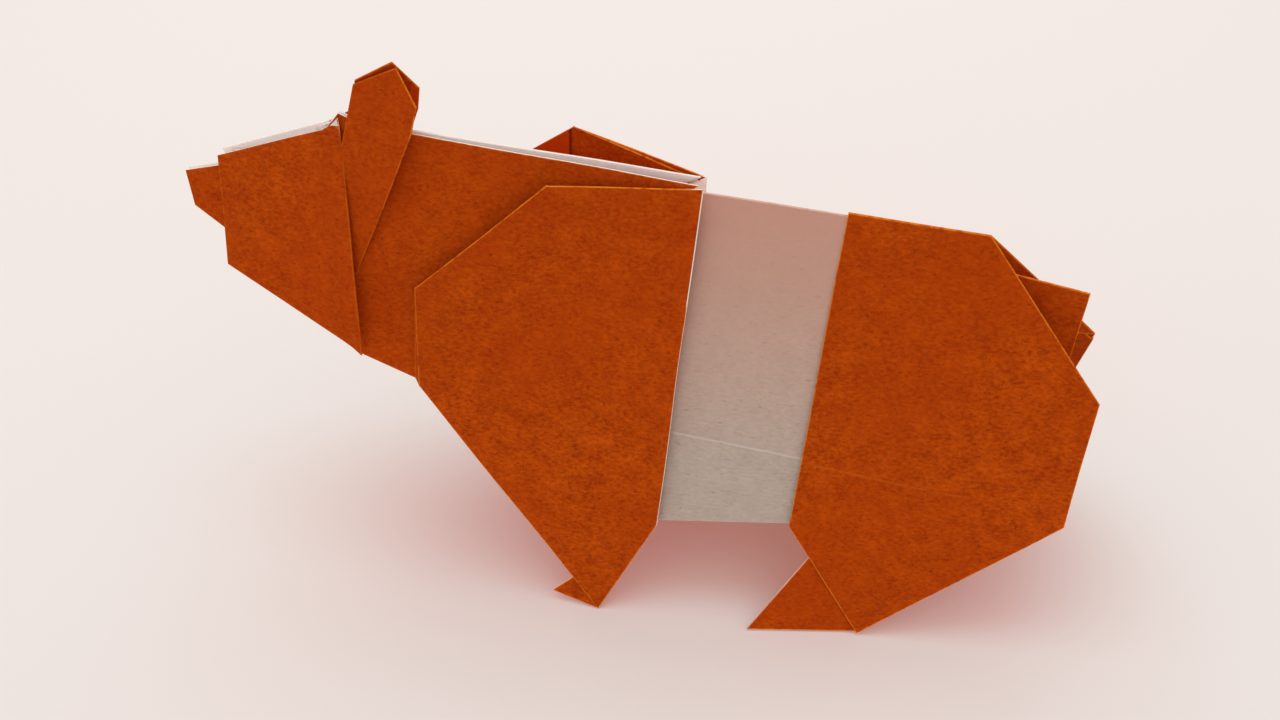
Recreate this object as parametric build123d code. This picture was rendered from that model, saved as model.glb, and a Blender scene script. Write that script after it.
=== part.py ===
from build123d import *
import math
import os

# Origami bear: one sheet, folded in half along the spine so that it stands as a tent.
# X runs along the spine, nose at -X. Each side leans out from the spine, and its layers
# are drawn on it as points (along the spine, down the side) with a lift off the base layer.

# Sheet and stance
paper = 0.2
mitre_share = 0.35         # limit on how far a sharp corner runs out
side_angle = 19.0
spine_pitch = 5.5
hem_depth = 45.0

# Lift of each layer off the base layer, at the spine and at the hem depth
base_lift = (0.0, 0.0)
rear_lift = (0.1, 0.75)
front_lift = (1.5, 1.1)

# White band between the front and rear flaps
band_width = 17.0
belly_front = 45.4
belly_rear = 42.3
tuck = 0.7                 # how far a covered layer stops short of the fold round it

# Rear flap, measured from the band's rear edge and down from the spine
rear_spine = 16.1
rump_run = 16.8
rump_drop = 18.2
rear_edge = 17.1
heel_run = 11.1
heel_drop = 56.3
rear_leg_inset = 1.0
rear_leg_lift = -0.2
rear_toe_reach = 3.0
rear_toe_fall = 1.9        # below the heel
rear_toe_lift = 1.9
foot_heel_lift = 0.45
foot_top_shares = (0.12411, 0.07042)  # place on the inner leg, from its knee to the heel and the thigh
foot_top_sink = 0.0952

# Tail, a small tent of its own below the end of the spine
tail_start = 18.5
tail_drop = 4.6
tail_slope = 6.6
tail_lean = 10.0
tail_length = 10.5
tail_depth = 9.8
tail_root = 2.5

# Front flap, measured from the band's front edge and down from the spine
collar_rise = 0.8
shoulder_run = 18.1
shoulder_drop = 1.3
chest_run = 33.2
chest_drop = 17.3
breast_run = 32.4
breast_drop = 31.1
knee_run = 6.3
knee_drop = 60.1
front_toe_run = 12.6
front_toe_drop = 59.1
front_toe_lift = 0.3
front_leg_inset = 0.6
front_leg_lift = 0.6

# How far the two shoulder corners spring away from the neck, shoulder then chest
near_spring = (8.0, 6.0)
far_spring = (36.0, 18.0)

# Neck, from the band's front edge and up from the spine; it meets the base layer at the throat
neck_gap = 0.85
neck_lean = 17.3
neck_taper = 0.6
neck_start_run = 0.8
neck_start_height = 1.4
throat_run = 33.3
throat_drop = 30.7
gullet_run = 40.6
gullet_drop = 28.6
nape_height = 1.95
pleat_top_run = 47.3
pleat_top_depth = 0.3
pleat_low_run = 43.8
pleat_low_depth = 24.3

# Head, over the pleat at the end of the neck, its rear edge standing off the neck
head_gap = 1.0
head_lean = 18.95
head_taper = 9.55
crown_run = 43.7
crown_height = 1.7
brow_run = 59.9
brow_depth = 5.65
jaw_front_run = 58.7
jaw_front_depth = 18.95
jaw_back_run = 39.85
jaw_back_depth = 25.25

# Nose, out of a second pleat inside the head
nose_gap = 0.4
nose_lean = 20.2
nose_root_run = 53.7
nose_root_depth = 5.1
nose_root_height = 12.3
nose_tip_run = 64.9
nose_tip_depth = 9.25
nose_low_run = 63.7
nose_low_height = 4.35

# Ear, tucked under the rear edge of the head, leaning out downwards and flaring backwards
ear_gap = 0.2
ear_flare = 9.5
ear_lean = 14.15
ear_front_run = 41.6
ear_front_height = 7.4
ear_peak_run = 36.3
ear_peak_height = 10.55
ear_corner_run = 33.75
ear_corner_height = 6.7
ear_side_run = 34.35
ear_side_height = 3.3
ear_root_reach = 0.2       # root and tuck, ahead of the rear edge of the head
ear_root_depth = 16.4
ear_tuck_low_reach = 2.3
ear_tuck_low_depth = 15.0
ear_tuck_high_reach = 1.9
ear_tuck_high_depth = 6.5

# How far each ear is drawn out of its tuck, forwards then upwards
near_ear = (0.0, 0.0)
far_ear = (0.65, 0.3)

half_band = band_width / 2
lean_out = math.sin(math.radians(side_angle))
lean_down = math.cos(math.radians(side_angle))


# A point on the near side of the tent: along the spine, down the side, lifted off the base
def side_point(along, down, lift):
    return Vector(along, -lean_down * lift - lean_out * down, lean_out * lift - lean_down * down)


def on_layer(layer, along, down):
    at_spine, at_hem = layer
    return side_point(along, down, at_spine + (at_hem - at_spine) * down / hem_depth)


# Runs are measured away from the band: forwards for the front, backwards for the rear
def front(layer, run, down):
    return on_layer(layer, -half_band - run, down)


def rear(layer, run, down):
    return on_layer(layer, half_band + run, down)


# Points on the neck, the head and the ear: run forwards from the band, height above the spine
def neck_point(run, height):
    lean = math.tan(math.radians(neck_lean)) * (neck_start_height - height)
    taper = math.tan(math.radians(neck_taper)) * (run - neck_start_run)
    return Vector(-half_band - run, -neck_gap - lean + taper, height)


def head_point(run, height):
    lean = math.tan(math.radians(head_lean)) * (crown_height - height)
    taper = math.tan(math.radians(head_taper)) * (run - crown_run)
    return Vector(-half_band - run, -head_gap - lean + taper, height)


# A point on the nose: run forwards from the band, depth below its top edge
def nose_point(run, below):
    slope = (nose_tip_depth - nose_root_depth) / (nose_tip_run - nose_root_run)
    top = -nose_root_depth - slope * (run - nose_root_run)
    lean = math.tan(math.radians(nose_lean)) * below
    return Vector(-half_band - run, -nose_gap - lean, top - below)


def ear_point(drawn, run, height):
    lean = math.tan(math.radians(ear_lean)) * (ear_front_height - height)
    flare = math.tan(math.radians(ear_flare)) * (ear_front_run - run)
    return Vector(-half_band - run - drawn[0], -ear_gap - lean - flare, height + drawn[1])


# One flat facet of the sheet, as thick as the paper and running round its folds by half of that
def facet(*corners):
    corners = list(corners)
    normal = (corners[1] - corners[0]).cross(corners[2] - corners[1]).normalized()
    grown = []
    for here in range(len(corners)):
        after = (here + 1) % len(corners)
        side_in = (corners[here] - corners[here - 1]).normalized().cross(normal)
        side_out = (corners[after] - corners[here]).normalized().cross(normal)
        spread = max(1 + side_in.dot(side_out), mitre_share)
        grown.append(corners[here] + (side_in + side_out) * (paper / 2 / spread))
    outline = Wire.make_polygon(grown, close=True)
    return extrude(Face(outline), amount=paper / 2, both=True)


# Two layers joined by the narrow turn of a fold
def fold(layer_a, layer_b, place, start, end):
    a_start = place(layer_a, *start)
    a_end = place(layer_a, *end)
    b_start = place(layer_b, *start)
    b_end = place(layer_b, *end)
    return facet(a_start, a_end, b_end, b_start)


# A strip of two triangles between two edges that need not lie in one plane
def strip(edge_a, edge_b):
    return [facet(edge_a[0], edge_a[1], edge_b[1]), facet(edge_a[0], edge_b[1], edge_b[0])]


# Base layer: band, the inside of both flaps and the inside of the neck
def base_layer():
    outline = [
        rear(base_lift, rear_spine - tuck, 0),
        rear(base_lift, rear_spine + rump_run - tuck, rump_drop),
        rear(base_lift, rear_spine + rump_run, rump_drop + tuck),
        rear(base_lift, rear_spine + rump_run, rump_drop + rear_edge - tuck),
        rear(base_lift, 0, belly_rear),
        front(base_lift, 0, belly_front),
        front(base_lift, throat_run, throat_drop),
        front(base_lift, gullet_run, gullet_drop),
        front(base_lift, gullet_run, 0),
    ]
    return [facet(*outline)]


# Rear flap with its leg and foot
def rear_flap():
    spine_start = rear(rear_lift, 0, -rear_lift[0] * lean_down / lean_out)
    spine_end = rear(rear_lift, rear_spine, -rear_lift[0] * lean_down / lean_out)
    rump = (rear_spine + rump_run, rump_drop)
    thigh = (rear_spine + rump_run, rump_drop + rear_edge)
    heel = rear(rear_lift, heel_run, heel_drop)
    knee = rear(rear_lift, 0, belly_rear)
    outer = facet(spine_start, spine_end, rear(rear_lift, *rump), rear(rear_lift, *thigh), heel, knee)
    turn = fold(base_lift, rear_lift, rear, (rump[0], rump[1] + tuck), (thigh[0], thigh[1] - tuck))
    inner_knee = side_point(half_band + rear_leg_inset, belly_rear + rear_leg_inset, rear_leg_lift)
    thigh_corner = rear(rear_lift, *thigh)
    inner = facet(thigh_corner, heel, inner_knee)
    toe = side_point(half_band - rear_toe_reach, heel_drop + rear_toe_fall, rear_toe_lift)
    to_heel, to_thigh = foot_top_shares
    foot_top = inner_knee + (heel - inner_knee) * to_heel + (thigh_corner - inner_knee) * to_thigh
    foot_top = foot_top + side_point(0, 0, -foot_top_sink)
    foot_heel = side_point(half_band + heel_run, heel_drop, foot_heel_lift)
    foot = facet(foot_heel, toe, foot_top)
    return [outer, turn, inner, foot]


# A point on the near face of the tail
def tail_point(along, down):
    slope = math.radians(tail_slope)
    lean = math.radians(tail_lean)
    start = Vector(half_band + tail_start, 0, -tail_drop)
    run = Vector(math.cos(slope), 0, -math.sin(slope)) * along
    fall = Vector(0, -math.sin(lean), -math.cos(lean)) * down
    return start + run + fall


# Tail and the gusset that turns in from the rump to carry it
def tail():
    root_low = tail_point(tail_root, tail_depth)
    face = facet(tail_point(0, 0), tail_point(tail_length, 0), tail_point(tail_length, tail_depth), root_low)
    rump_start = rear(rear_lift, rear_spine, -rear_lift[0] * lean_down / lean_out)
    rump_end = rear(rear_lift, rear_spine + rump_run, rump_drop)
    return [face] + strip((rump_start, rump_end), (tail_point(0, 0), root_low))


# Front flap: the leg below, and the shoulder that springs out about the line from collar to breast
def front_flap(spring):
    collar = front(front_lift, 0, -collar_rise)
    breast = front(front_lift, breast_run, breast_drop)
    hinge = Axis((0, 0, 0), collar - breast)

    def sprung(run, down, angle):
        flat = front(front_lift, run, down)
        return (flat - collar).rotate(hinge, angle) + collar

    shoulder = sprung(shoulder_run, shoulder_drop, spring[0])
    chest = sprung(chest_run, chest_drop, spring[1])
    knee = front(front_lift, 0, belly_front)
    foot = front(front_lift, knee_run, knee_drop)
    middle = (collar + breast) / 2
    leg = facet(collar, breast, foot, knee)
    outer = [facet(collar, shoulder, middle), facet(shoulder, chest, middle), facet(chest, breast, middle)]
    neck_collar = neck_point(neck_start_run, neck_start_height - tuck)
    neck_breast = front(base_lift, throat_run, throat_drop)
    neck_middle = (neck_collar + neck_breast) / 2
    inner = [
        facet(neck_collar, shoulder, neck_middle),
        facet(shoulder, chest, neck_middle),
        facet(chest, neck_breast, neck_middle),
        facet(chest, breast, neck_breast),
    ]
    inner_knee = side_point(-half_band - front_leg_inset, belly_front, front_leg_lift)
    lining = facet(breast, foot, inner_knee)
    toe = facet(knee, foot, side_point(-half_band - front_toe_run, front_toe_drop, front_toe_lift))
    return [leg] + outer + inner + [lining, toe]


# Neck, open along its top, and the pleat under the head
def neck():
    pleat_top = neck_point(pleat_top_run, -pleat_top_depth)
    pleat_low = neck_point(pleat_low_run, -pleat_low_depth)
    outer = facet(
        neck_point(neck_start_run, neck_start_height),
        neck_point(crown_run, nape_height),
        pleat_top,
        pleat_low,
        neck_point(gullet_run, front(base_lift, gullet_run, gullet_drop).Z),
        neck_point(throat_run, front(base_lift, throat_run, throat_drop).Z),
    )
    crown = head_point(crown_run, crown_height)
    jaw_back = head_point(jaw_back_run, -jaw_back_depth)
    return [outer] + strip((crown, jaw_back), (pleat_top, pleat_low))


# Head with the pleat that turns in at its front edge and the nose that comes out of it
def head():
    brow = head_point(brow_run, -brow_depth)
    jaw_front = head_point(jaw_front_run, -jaw_front_depth)
    cheek = facet(
        head_point(crown_run, crown_height),
        brow,
        jaw_front,
        head_point(jaw_back_run, -jaw_back_depth),
    )
    root_top = nose_point(nose_root_run, 0)
    root_low = nose_point(nose_root_run, nose_root_height)
    nose = facet(
        root_top,
        nose_point(nose_tip_run, 0),
        nose_point(nose_low_run, nose_low_height),
        root_low,
    )
    return [cheek, nose] + strip((brow, jaw_front), (root_top, root_low))


# Run of the rear edge of the head at a depth below the spine
def head_edge_run(depth):
    slope = (crown_run - jaw_back_run) / (crown_height + jaw_back_depth)
    return crown_run - slope * (crown_height + depth)


def ear(drawn):
    root_run = head_edge_run(ear_root_depth) + ear_root_reach
    tuck_low_run = head_edge_run(ear_tuck_low_depth) + ear_tuck_low_reach
    tuck_high_run = head_edge_run(ear_tuck_high_depth) + ear_tuck_high_reach
    return [facet(
        ear_point(drawn, ear_front_run, ear_front_height),
        ear_point(drawn, ear_peak_run, ear_peak_height),
        ear_point(drawn, ear_corner_run, ear_corner_height),
        ear_point(drawn, ear_side_run, ear_side_height),
        ear_point(drawn, root_run, -ear_root_depth),
        ear_point(drawn, tuck_low_run, -ear_tuck_low_depth),
        ear_point(drawn, tuck_high_run, -ear_tuck_high_depth),
    )]


def one_side(spring, drawn):
    return base_layer() + rear_flap() + tail() + front_flap(spring) + neck() + head() + ear(drawn)


near_side = one_side(near_spring, near_ear)
far_side = [mirror(piece, about=Plane.XZ) for piece in one_side(far_spring, far_ear)]
panels = near_side + far_side
folded = panels[0].fuse(*panels[1:])

# Stand the bear on its feet, with the spine rising towards the head
stood = folded.rotate(Axis.Y, spine_pitch)
box = stood.bounding_box()
stood = stood.translate((-(box.min.X + box.max.X) / 2, -(box.min.Y + box.max.Y) / 2, -box.min.Z))

os.makedirs("parts", exist_ok=True)
export_step(stood, "parts/folded_bear.step")
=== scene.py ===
import bpy
import bmesh
import math
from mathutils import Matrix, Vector, noise


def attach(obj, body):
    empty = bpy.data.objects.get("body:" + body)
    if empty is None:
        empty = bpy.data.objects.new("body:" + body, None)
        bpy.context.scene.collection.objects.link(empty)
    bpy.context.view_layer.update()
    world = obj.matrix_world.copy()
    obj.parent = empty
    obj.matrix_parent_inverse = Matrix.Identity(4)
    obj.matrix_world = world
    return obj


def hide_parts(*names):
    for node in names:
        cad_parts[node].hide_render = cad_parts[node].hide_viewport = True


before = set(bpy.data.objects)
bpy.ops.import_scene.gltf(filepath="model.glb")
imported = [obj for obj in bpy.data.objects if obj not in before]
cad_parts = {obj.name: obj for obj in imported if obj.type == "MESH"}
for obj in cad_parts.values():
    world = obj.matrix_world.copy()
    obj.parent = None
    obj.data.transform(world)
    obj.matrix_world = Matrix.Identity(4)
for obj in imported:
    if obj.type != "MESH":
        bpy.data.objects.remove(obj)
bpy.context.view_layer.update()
print("frame loaded")

mm = 0.001

# where the spine lies in the frame, and how the sides lean off it
tent = {
    "spineX": 17.170 * mm,
    "spineZ": 55.045 * mm,
    "pitch": math.radians(5.5),
    "lean": math.radians(19.0),
}

# the folded sheet
sheetLook = {
    "weldGap": 0.002 * mm,
    "longestEdge": 2.0 * mm,
    "cutRounds": 7,
    "edgeWidth": 0.34 * mm,      # faces narrower than this are the sheet's edge
    "leastLength": 1e-9,         # keeps a face of no length from a division by zero
    "warp": 0.16 * mm,           # how far the paper strays from flat
    "warpLength": 17.0 * mm,
    "warpFade": 8.0 * mm,        # no warp at the feet
    "warpSeed": 5,               # the same warp each run
    "creaseAngle": math.radians(5.0),
    "collarAt": 8.4 * mm,        # the front flap's cut edge, ahead of the spine's middle
    "collarStrip": 0.14 * mm,    # pale fibre beside it
    "neckGap": 0.85 * mm,        # the neck's own plane
    "neckTop": 1.4 * mm,
    "neckStart": 9.3 * mm,
    "neckSlope": math.tan(math.radians(17.3)),
    "neckTaper": math.tan(math.radians(0.6)),
    "neckSlack": 0.25 * mm,
}


def pickOut(piece):
    bpy.ops.object.select_all(action="DESELECT")
    piece.select_set(True)
    bpy.context.view_layer.objects.active = piece


def rampShare(value, low, high):
    return min(1.0, max(0.0, (value - low) / (high - low)))


# a point or a direction of the frame, on axes that run with the spine
def toTent(point, isDirection=False):
    x, y, z = point
    if not isDirection:
        x -= tent["spineX"]
        z -= tent["spineZ"]
    c, s = math.cos(tent["pitch"]), math.sin(tent["pitch"])
    return Vector((c * x - s * z, y, s * x + c * z))


def makeSheet():
    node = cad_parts["folded_bear"]
    piece = bpy.data.objects.new("foldedSheet", node.data.copy())
    bpy.context.collection.objects.link(piece)
    piece.data.materials.clear()
    pickOut(piece)
    bpy.ops.mesh.customdata_custom_splitnormals_clear()
    bpy.ops.object.mode_set(mode="EDIT")
    bpy.ops.mesh.select_all(action="SELECT")
    bpy.ops.mesh.remove_doubles(threshold=sheetLook["weldGap"])
    for cutRound in range(sheetLook["cutRounds"]):
        bpy.ops.mesh.select_all(action="DESELECT")
        bpy.ops.mesh.select_mode(type="EDGE")
        cage = bmesh.from_edit_mesh(piece.data)
        for edge in cage.edges:
            edge.select_set(edge.calc_length() > sheetLook["longestEdge"])
        bmesh.update_edit_mesh(piece.data)
        bpy.ops.mesh.subdivide(number_cuts=1)
        bpy.ops.mesh.select_all(action="SELECT")
        bpy.ops.mesh.quads_convert_to_tris()
    # a cut for the strip along the collar
    bpy.ops.mesh.select_all(action="SELECT")
    along = (math.cos(tent["pitch"]), 0, -math.sin(tent["pitch"]))
    ahead = sheetLook["collarAt"] + sheetLook["collarStrip"]
    bpy.ops.mesh.bisect(
        plane_co=(tent["spineX"] - along[0] * ahead, 0, tent["spineZ"] - along[2] * ahead),
        plane_no=along,
    )
    bpy.ops.mesh.select_all(action="SELECT")
    bpy.ops.mesh.quads_convert_to_tris()
    bpy.ops.object.mode_set(mode="OBJECT")
    print("sheet cut to", len(piece.data.polygons), "faces")
    return piece


# the order of the sheet's materials
brown, white, raw, inside, shoulder = range(5)

# where each of them shows, in millimetres along the spine, off the base layer and down its slope
sideMap = {
    "edgeTilt": 0.6,                 # faces turned further than this from the side are edges
    "bandEdge": 8.3,
    "collar": -8.6, "collarNear": 0.5, "collarTop": -0.5,
    "neckTop": (-52.3, -8.0), "neckTopLow": 1.0, "neckTopOut": 1.3,
    "headTop": -52.0, "headTopTilt": 0.5,
    "footEnd": 13.0, "footLow": 43.5, "footTilt": 0.3,
    "rawTop": 2.4,                   # the ears have no raw edge
    "baseReach": 14.0,               # the base layer is white a little way under the flaps
    "baseLift": 0.1, "baseNear": 0.03,
    "headEnd": -54.0, "neckEnd": -8.0,
    "shoulder": (-44.0, -10.0), "shoulderLift": 1.9, "shoulderLow": 18.0,
    "innerLift": -0.05, "bellyLow": 43.0, "rumpEnd": 24.0,
}


def sheetSide(centre, normal, narrow):
    spot = toTent(centre)
    facing = toTent(normal, True)
    isFar = spot.y > 0
    if isFar:
        spot.y, facing.y = -spot.y, -facing.y
    c, s = math.cos(tent["lean"]), math.sin(tent["lean"])
    lift = (-spot.y * c + spot.z * s) / mm
    down = (-spot.y * s - spot.z * c) / mm
    out = -facing.y * c + facing.z * s
    along = spot.x / mm
    # edges and turns
    if abs(out) < sideMap["edgeTilt"]:
        if abs(along) < sideMap["bandEdge"]:
            return white
        if not narrow or spot.z / mm >= sideMap["rawTop"]:
            return brown
        atCollar = abs(along - sideMap["collar"]) < sideMap["collarNear"]
        neckStart, neckEnd = sideMap["neckTop"]
        atNeckTop = neckStart < along < neckEnd and spot.z / mm > sideMap["neckTopLow"]
        atNeckTop = atNeckTop and -spot.y / mm < sideMap["neckTopOut"]
        atHeadTop = along < sideMap["headTop"] and facing.z > sideMap["headTopTilt"]
        atFoot = along < sideMap["footEnd"] and down > sideMap["footLow"]
        atFoot = atFoot and facing.z > sideMap["footTilt"]
        return raw if atCollar or atNeckTop or atHeadTop or atFoot else brown
    # faces that look out
    if out > 0:
        onBase = abs(lift - sideMap["baseLift"]) < sideMap["baseNear"]
        if onBase and abs(along) < sideMap["baseReach"]:
            return white
        strip = (sheetLook["collarAt"] + sheetLook["collarStrip"]) / mm
        return raw if -strip < along < 0 and down > sideMap["collarTop"] else brown
    # faces that look in
    if along < sideMap["headEnd"]:
        return inside
    shoulderStart, shoulderEnd = sideMap["shoulder"]
    onShoulder = isFar and shoulderStart < along < shoulderEnd
    if onShoulder and lift > sideMap["shoulderLift"] and down < sideMap["shoulderLow"]:
        return shoulder
    if lift < sideMap["innerLift"] or down > sideMap["bellyLow"] or along > sideMap["rumpEnd"]:
        return brown
    if along < sideMap["neckEnd"]:
        rise = sheetLook["neckSlope"] * (sheetLook["neckTop"] - spot.z)
        taper = sheetLook["neckTaper"] * (-spot.x - sheetLook["neckStart"])
        offNeck = abs(-spot.y - sheetLook["neckGap"] - rise + taper)
        return inside if offNeck < sheetLook["neckSlack"] else brown
    return white


def paintSheet(piece):
    mesh = piece.data
    for face in mesh.polygons:
        corners = [mesh.vertices[i].co for i in face.vertices]
        longest = max((corners[i] - corners[i - 1]).length for i in range(len(corners)))
        width = 2 * face.area / max(longest, sheetLook["leastLength"])
        face.material_index = sheetSide(face.center, face.normal, width < sheetLook["edgeWidth"])


# small tips that a flat fold leaves out, in millimetres along, out and up:
# the pleat's end behind the crown, and the corner of the jaw
tips = (
    {"place": (-52.0, 0.3, 2.0), "reach": 1.9, "across": 0.75, "push": (-0.25, 0.0, 1.15)},
    {"place": (-48.3, 9.6, -25.3), "reach": 1.6, "across": 2.0, "push": (-0.1, 0.1, -0.3)},
)


def pullTips(piece):
    c, s = math.cos(tent["pitch"]), math.sin(tent["pitch"])
    for vertex in piece.data.vertices:
        spot = toTent(vertex.co) / mm
        side = 1.0 if spot.y > 0 else -1.0
        for tip in tips:
            x, y, z = tip["place"]
            if abs(abs(spot.y) - y) > tip["across"]:
                continue
            share = max(0.0, 1.0 - math.hypot(spot.x - x, spot.z - z) / tip["reach"])
            x, y, z = (share * push * mm for push in tip["push"])
            vertex.co += Vector((c * x + s * z, side * y, c * z - s * x))


# the far shoulder lies a little further forwards, the more so towards the breast; millimetres
shoulderDraw = {
    "start": 8.6, "share": 0.05,
    "lift": (0.9, 1.5), "down": (20.0, 8.0), "end": (-42.2, -38.0),
}

# the front edge of the far ear lies back behind the near one, and the crown stays; millimetres
earDraw = {
    "along": (-45.5, -51.0), "up": (1.6, 2.6), "push": 0.75,
    "crownOut": 0.5, "crownUp": 4.2,
}


def drawFarSide(piece):
    c, s = math.cos(tent["lean"]), math.sin(tent["lean"])
    forwards = Vector((-math.cos(tent["pitch"]), 0, math.sin(tent["pitch"])))
    for vertex in piece.data.vertices:
        spot = toTent(vertex.co) / mm
        if spot.y < 0 or spot.x > -shoulderDraw["start"]:
            continue
        lift = spot.y * c + spot.z * s
        down = spot.y * s - spot.z * c
        weight = rampShare(lift, *shoulderDraw["lift"]) * rampShare(down, *shoulderDraw["down"])
        weight *= rampShare(spot.x, *shoulderDraw["end"])
        draw = weight * shoulderDraw["share"] * (-spot.x - shoulderDraw["start"])
        onEar = rampShare(spot.x, *earDraw["along"]) * rampShare(spot.z, *earDraw["up"])
        if spot.y < earDraw["crownOut"] and spot.z < earDraw["crownUp"]:
            onEar = 0.0
        vertex.co += forwards * (draw - onEar * earDraw["push"]) * mm


def warpSheet(piece):
    noise.seed_set(sheetLook["warpSeed"])
    for vertex in piece.data.vertices:
        push = noise.noise_vector(vertex.co / sheetLook["warpLength"])
        vertex.co += push * sheetLook["warp"] * rampShare(vertex.co.z, 0.0, sheetLook["warpFade"])
    pickOut(piece)
    bpy.ops.object.shade_smooth_by_angle(angle=sheetLook["creaseAngle"])


# fibres lie along the spine, so their pattern is drawn out that way
def addStretch(nodes, links, place, stretch):
    drawn = nodes.new("ShaderNodeMapping")
    drawn.inputs["Scale"].default_value = (1.0 / stretch, 1.0, 1.0)
    links.new(place, drawn.inputs["Vector"])
    return drawn.outputs["Vector"]


def addNoise(nodes, links, place, scale, detail, roughness):
    grain = nodes.new("ShaderNodeTexNoise")
    grain.inputs["Scale"].default_value = scale
    grain.inputs["Detail"].default_value = detail
    grain.inputs["Roughness"].default_value = roughness
    links.new(place, grain.inputs["Vector"])
    return grain.outputs["Fac"]


def addMath(nodes, links, operation, first, second):
    step = nodes.new("ShaderNodeMath")
    step.operation = operation
    for socket, value in ((step.inputs[0], first), (step.inputs[1], second)):
        if isinstance(value, float):
            socket.default_value = value
        else:
            links.new(value, socket)
    return step.outputs["Value"]


def addRange(nodes, links, value, low, high):
    span = nodes.new("ShaderNodeMapRange")
    span.inputs["From Min"].default_value = low
    span.inputs["From Max"].default_value = high
    links.new(value, span.inputs["Value"])
    return span.outputs["Result"]


# sockets 6 and 7 of a Mix node are its two colours, and output 2 is the mixed one
def addMix(nodes, links, share, first, second):
    mix = nodes.new("ShaderNodeMix")
    mix.data_type = "RGBA"
    links.new(share, mix.inputs["Factor"])
    for socket, colour in ((mix.inputs[6], first), (mix.inputs[7], second)):
        if isinstance(colour, tuple):
            socket.default_value = (*colour, 1.0)
        else:
            links.new(colour, socket)
    return mix.outputs[2]


# what all the paper's finishes share; a grain is the detail and roughness of its noise
paperGrain = {
    "fibre": (5.0, 0.65), "blotch": (3.0, 0.55), "cloud": (2.0, 0.5),
    "speck": (2.0, 0.5), "fleck": (2.0, 0.6), "crumble": (2.0, 0.6),
    "cloudSpan": (0.35, 0.65), "crumbleSpan": (0.30, 0.52),
    "paintedTopShadingSpan": (22.0 * mm, 56.0 * mm),      # up the sides
    "bodySpan": (-29.0 * mm, -23.0 * mm),     # from the head back to the body
    "turnSpan": (0.99, 0.90), "turnSamples": 6,
    "glowScale": 1.0 * mm, "bumpDepth": 0.04 * mm,
}

# a straight line in the frame's X and Z, along which a painted highlight marks an old crease
creaseHighlightLine = {
    "slope": -0.133, "height": 26.5 * mm,
    "width": 0.2 * mm, "core": 0.06 * mm,
    "front": (5.0 * mm, 6.0 * mm), "rear": (47.0 * mm, 35.0 * mm),
}

# an upright line at one X: a painted pleat, with a painted highlight in front of it and a painted
# shade line along its fold
pleatLine = {
    "place": -9.05 * mm, "width": 0.3 * mm, "core": 0.09 * mm,
    "paintedLitColour": (0.66, 0.066, 0.001), "paintedShadeColour": (0.06, 0.004, 0.0005),
}


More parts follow.
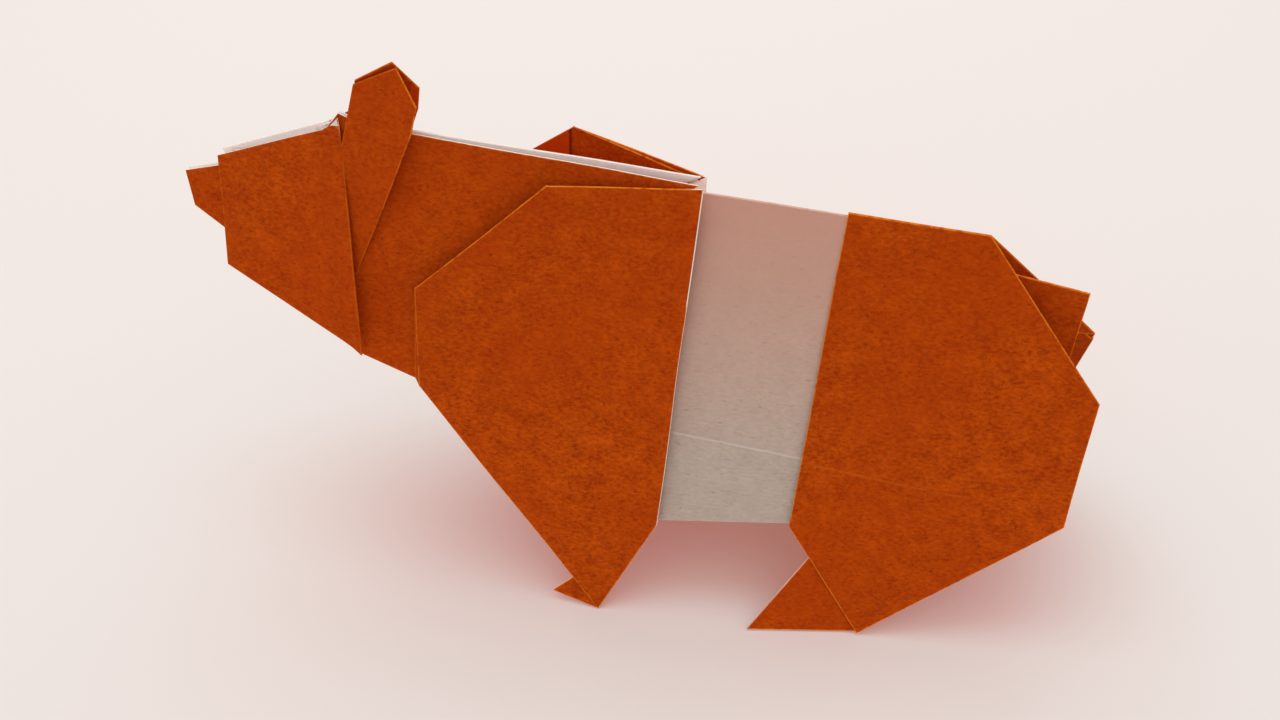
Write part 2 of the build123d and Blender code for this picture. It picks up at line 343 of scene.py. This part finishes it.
def paperMaterial(name, look):
    material = bpy.data.materials.new(name)
    material.use_nodes = True
    nodes, links = material.node_tree.nodes, material.node_tree.links
    shader = nodes["Principled BSDF"]
    shader.inputs["Roughness"].default_value = look["roughness"]
    shader.inputs["Specular IOR Level"].default_value = look["shine"]
    shader.inputs["Subsurface Weight"].default_value = look["glow"]
    shader.inputs["Subsurface Radius"].default_value = look["glowReach"]
    shader.inputs["Subsurface Scale"].default_value = paperGrain["glowScale"]
    place = nodes.new("ShaderNodeTexCoord").outputs["Object"]
    axes = nodes.new("ShaderNodeSeparateXYZ")
    links.new(place, axes.inputs["Vector"])
    length, height = axes.outputs["X"], axes.outputs["Z"]
    drawnPlace = addStretch(nodes, links, place, look["stretch"])
    fibre = addNoise(nodes, links, drawnPlace, look["fibreScale"], *paperGrain["fibre"])
    blotch = addNoise(nodes, links, place, look["blotchScale"], *paperGrain["blotch"])
    cloud = addNoise(nodes, links, place, look["cloudScale"], *paperGrain["cloud"])
    mottle = addMath(nodes, links, "MULTIPLY_ADD", blotch, look["blotchShare"])
    links.new(fibre, mottle.node.inputs[2])
    mottle = addRange(nodes, links, mottle, *look["mottle"])
    colour = addMix(nodes, links, mottle, look["dark"], look["light"])
    drift = addRange(nodes, links, cloud, *paperGrain["cloudSpan"])
    drift = addMath(nodes, links, "MULTIPLY", drift, look["cloudShare"])
    colour = addMix(nodes, links, drift, colour, look["drift"])
    # dark short fibres, then pale flecks of loose ones
    speck = addNoise(nodes, links, drawnPlace, look["speckScale"], *paperGrain["speck"])
    speck = addRange(nodes, links, speck, *look["speck"])
    colour = addMix(nodes, links, speck, colour, look["speckColour"])
    fleck = addNoise(nodes, links, place, look["fleckScale"], *paperGrain["fleck"])
    fleck = addRange(nodes, links, fleck, *look["fleck"])
    colour = addMix(nodes, links, fleck, colour, look["fleckColour"])
    # painted light and shade towards the spine: on the white side a painted red light let through
    # the paper, on the brown side a slightly darker painted shade
    paintedTopShading = addRange(nodes, links, height, *paperGrain["paintedTopShadingSpan"])
    paintedTopShading = addMath(nodes, links, "MULTIPLY", paintedTopShading, look["paintedTopShading"])
    colour = addMix(nodes, links, paintedTopShading, colour, look["paintedTopShadingColour"])
    # an old crease across the band and the rear flap, drawn as a painted highlight: a lighter
    # line along it
    creaseHighlight = addMath(nodes, links, "MULTIPLY", length, creaseHighlightLine["slope"])
    creaseHighlight = addMath(nodes, links, "ADD", creaseHighlight, creaseHighlightLine["height"])
    creaseHighlight = addMath(nodes, links, "SUBTRACT", height, creaseHighlight)
    creaseHighlight = addMath(nodes, links, "ABSOLUTE", creaseHighlight, 0.0)
    creaseHighlight = addRange(nodes, links, creaseHighlight, creaseHighlightLine["width"], creaseHighlightLine["core"])
    for end in ("front", "rear"):
        fade = addRange(nodes, links, length, *creaseHighlightLine[end])
        creaseHighlight = addMath(nodes, links, "MULTIPLY", creaseHighlight, fade)
    creaseHighlight = addMath(nodes, links, "MULTIPLY", creaseHighlight, look["creaseHighlight"])
    colour = addMix(nodes, links, creaseHighlight, colour, look["creaseHighlightColour"])
    # a pleat painted across the inside of the far shoulder: a painted highlight in front of it
    # and a painted shade line along it
    pleat = addMath(nodes, links, "SUBTRACT", length, pleatLine["place"])
    lit = addRange(nodes, links, pleat, 0.0, -pleatLine["width"])
    lit = addMath(nodes, links, "MULTIPLY", lit, look["pleat"])
    colour = addMix(nodes, links, lit, colour, pleatLine["paintedLitColour"])
    pleat = addMath(nodes, links, "ABSOLUTE", pleat, 0.0)
    pleat = addRange(nodes, links, pleat, pleatLine["width"], pleatLine["core"])
    pleat = addMath(nodes, links, "MULTIPLY", pleat, look["pleat"])
    colour = addMix(nodes, links, pleat, colour, pleatLine["paintedShadeColour"])
    # worn lines where the sheet turns, with a painted highlight along the fold edges where the
    # paper's thickness would catch the light
    rounded = nodes.new("ShaderNodeBevel")
    rounded.samples = paperGrain["turnSamples"]
    rounded.inputs["Radius"].default_value = look["wearAndEdgeHighlightWidth"]
    flat = nodes.new("ShaderNodeNewGeometry")
    match = nodes.new("ShaderNodeVectorMath")
    match.operation = "DOT_PRODUCT"
    links.new(rounded.outputs["Normal"], match.inputs[0])
    links.new(flat.outputs["True Normal"], match.inputs[1])
    wearAndEdgeHighlight = addRange(nodes, links, match.outputs["Value"], *paperGrain["turnSpan"])
    crumble = addNoise(nodes, links, place, look["crumbleScale"], *paperGrain["crumble"])
    crumble = addRange(nodes, links, crumble, *paperGrain["crumbleSpan"])
    wearAndEdgeHighlight = addMath(nodes, links, "MULTIPLY", wearAndEdgeHighlight, crumble)
    # the head and ears get less of the wear and of the painted edge highlight than the body
    body = addRange(nodes, links, length, *paperGrain["bodySpan"])
    body = addMath(nodes, links, "MULTIPLY", body, 1.0 - look["headWearAndEdgeHighlight"])
    body = addMath(nodes, links, "ADD", body, look["headWearAndEdgeHighlight"])
    wearAndEdgeHighlight = addMath(nodes, links, "MULTIPLY", wearAndEdgeHighlight, body)
    wearAndEdgeHighlight = addMath(nodes, links, "MULTIPLY", wearAndEdgeHighlight, look["wearAndEdgeHighlight"])
    # lighter and orange along the edges: wear with a painted highlight
    colour = addMix(nodes, links, wearAndEdgeHighlight, colour, look["wearAndEdgeHighlightColour"])
    links.new(colour, shader.inputs["Base Color"])
    bump = nodes.new("ShaderNodeBump")
    bump.inputs["Strength"].default_value = look["bump"]
    bump.inputs["Distance"].default_value = paperGrain["bumpDepth"]
    links.new(fibre, bump.inputs["Height"])
    links.new(bump.outputs["Normal"], shader.inputs["Normal"])
    # thin paper lets a lamp behind it redden its shadow
    rays = nodes.new("ShaderNodeLightPath")
    thin = nodes.new("ShaderNodeBsdfTransparent")
    thin.inputs["Color"].default_value = (*look["through"], 1.0)
    choice = nodes.new("ShaderNodeMixShader")
    links.new(rays.outputs["Is Shadow Ray"], choice.inputs["Fac"])
    links.new(shader.outputs["BSDF"], choice.inputs[1])
    links.new(thin.outputs["BSDF"], choice.inputs[2])
    links.new(choice.outputs["Shader"], nodes["Material Output"].inputs["Surface"])
    return material


# brown side: red-brown fibre paper, orange where it is worn and where a highlight is painted
# along the edges
brownLook = {
    "dark": (0.31, 0.030, 0.0006), "light": (0.62, 0.093, 0.002),
    "drift": (0.45, 0.046, 0.0010), "cloudShare": 0.5, "cloudScale": 55.0,
    "roughness": 0.85, "shine": 0.05, "bump": 0.4,
    "glow": 0.15, "glowReach": (0.6, 0.06, 0.01), "through": (0.90, 0.44, 0.22),
    "stretch": 1.7, "fibreScale": 2600.0,
    "blotchScale": 380.0, "blotchShare": 0.45, "mottle": (0.52, 0.92),
    "speckScale": 3200.0, "speck": (0.60, 0.82), "speckColour": (0.20, 0.020, 0.0008),
    "fleckScale": 5200.0, "fleck": (0.71, 0.80), "fleckColour": (0.66, 0.14, 0.010),
    "paintedTopShading": 0.12, "paintedTopShadingColour": (0.38, 0.036, 0.0012),
    "pleat": 0.0, "creaseHighlight": 0.30, "creaseHighlightColour": (0.62, 0.13, 0.012),
    "wearAndEdgeHighlightWidth": 0.28 * mm, "crumbleScale": 900.0,
    "wearAndEdgeHighlight": 0.95, "headWearAndEdgeHighlight": 0.3, "wearAndEdgeHighlightColour": (0.86, 0.28, 0.02),
}

# white side: the same paper as the white inside, written darker and pinker: a painted shade with
# a painted red light let through the brown
shadedWhiteLook = {
    "dark": (0.44, 0.355, 0.295), "light": (0.58, 0.475, 0.40),
    "drift": (0.51, 0.41, 0.345), "cloudShare": 0.4, "cloudScale": 55.0,
    "roughness": 0.85, "shine": 0.05, "bump": 0.35,
    "glow": 0.1, "glowReach": (0.6, 0.3, 0.2), "through": (0.72, 0.30, 0.15),
    "stretch": 2.4, "fibreScale": 3000.0,
    "blotchScale": 420.0, "blotchShare": 0.5, "mottle": (0.5, 1.0),
    "speckScale": 2600.0, "speck": (0.64, 0.80), "speckColour": (0.34, 0.26, 0.21),
    "fleckScale": 4200.0, "fleck": (0.70, 0.80), "fleckColour": (0.62, 0.54, 0.48),
    "paintedTopShading": 0.85, "paintedTopShadingColour": (0.62, 0.295, 0.215),
    "pleat": 0.0, "creaseHighlight": 0.38, "creaseHighlightColour": (0.72, 0.68, 0.62),
    "wearAndEdgeHighlightWidth": 0.15 * mm, "crumbleScale": 900.0,
    "wearAndEdgeHighlight": 0.5, "headWearAndEdgeHighlight": 1.0, "wearAndEdgeHighlightColour": (0.78, 0.70, 0.64),
}

# raw edge of the sheet: pale torn fibre
rawLook = dict(
    shadedWhiteLook,
    dark=(0.72, 0.62, 0.54), light=(0.92, 0.85, 0.78), drift=(0.83, 0.73, 0.65),
    roughness=0.9, bump=0.2, stretch=1.0, fibreScale=2600.0,
    speck=(0.70, 0.80), speckColour=(0.56, 0.45, 0.38), fleckColour=(0.88, 0.82, 0.76),
    paintedTopShading=0.0, creaseHighlight=0.0, wearAndEdgeHighlight=0.0,
)

# inside of the head and neck: the paper's own white, with no painted shade
insideLook = dict(
    rawLook,
    dark=(0.88, 0.79, 0.75), light=(0.97, 0.91, 0.88), drift=(0.93, 0.83, 0.79),
    glow=0.4, glowReach=(8.0, 5.0, 4.0), through=(0.90, 0.46, 0.24),
)

# inside of the far shoulder: brown with a painted pleat of light and shade
shoulderPaintedPleatLook = dict(brownLook, pleat=0.65, creaseHighlight=0.0)

sheet = makeSheet()
for name, look in (
    ("brownSide", brownLook), ("whiteSideShaded", shadedWhiteLook), ("rawEdge", rawLook),
    ("insideWhite", insideLook), ("shoulderInsidePaintedPleat", shoulderPaintedPleatLook),
):
    sheet.data.materials.append(paperMaterial(name, look))
paintSheet(sheet)
pullTips(sheet)
drawFarSide(sheet)
warpSheet(sheet)
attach(sheet, "root")
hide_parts("folded_bear")
print("sheet finished")

# floor
floorLook = {"size": 4.0, "colour": (0.760, 0.701, 0.672), "roughness": 0.9, "shine": 0.1}
bpy.ops.object.select_all(action="DESELECT")
bpy.ops.mesh.primitive_plane_add(size=floorLook["size"])
floor = bpy.context.active_object
floor.name = "floor"
floorPaint = bpy.data.materials.new("floorPaint")
floorPaint.use_nodes = True
floorShader = floorPaint.node_tree.nodes["Principled BSDF"]
floorShader.inputs["Base Color"].default_value = (*floorLook["colour"], 1.0)
floorShader.inputs["Roughness"].default_value = floorLook["roughness"]
floorShader.inputs["Specular IOR Level"].default_value = floorLook["shine"]
floor.data.materials.append(floorPaint)

# light
lightLook = {
    "sky": (1.0, 0.985, 0.97), "skyStrength": 0.79,
    "lampSize": 0.50, "lampPower": 1.75,
    "lampPlace": (-0.05, 0.18, 0.57), "lampAim": (0, 0, 0.03),
}
world = bpy.data.worlds.new("softRoom")
bpy.context.scene.world = world
world.use_nodes = True
sky = world.node_tree.nodes["Background"]
sky.inputs["Color"].default_value = (*lightLook["sky"], 1.0)
sky.inputs["Strength"].default_value = lightLook["skyStrength"]
lampData = bpy.data.lights.new("window", "AREA")
lampData.size = lightLook["lampSize"]
lampData.energy = lightLook["lampPower"]
lamp = bpy.data.objects.new("window", lampData)
lamp.location = lightLook["lampPlace"]
lampAim = Vector(lightLook["lampAim"]) - lamp.location
lamp.rotation_euler = lampAim.to_track_quat("-Z", "Y").to_euler()
bpy.context.collection.objects.link(lamp)

# camera at the photograph's place
cameraLook = {
    "place": (30.057 * mm, -128.901 * mm, 155.228 * mm),
    "turn": (45.953, 2.363, 10.837),
    "lens": 39.375, "sensor": 36.0, "nearest": 5.0 * mm,
}
cameraData = bpy.data.cameras.new("photoCamera")
cameraData.lens = cameraLook["lens"]
cameraData.sensor_width = cameraLook["sensor"]
cameraData.clip_start = cameraLook["nearest"]
camera = bpy.data.objects.new("photoCamera", cameraData)
camera.location = cameraLook["place"]
camera.rotation_euler = [math.radians(angle) for angle in cameraLook["turn"]]
bpy.context.collection.objects.link(camera)
bpy.context.scene.camera = camera

bpy.context.scene.view_settings.view_transform = "Standard"
print("stage set")

bpy.context.view_layer.update()
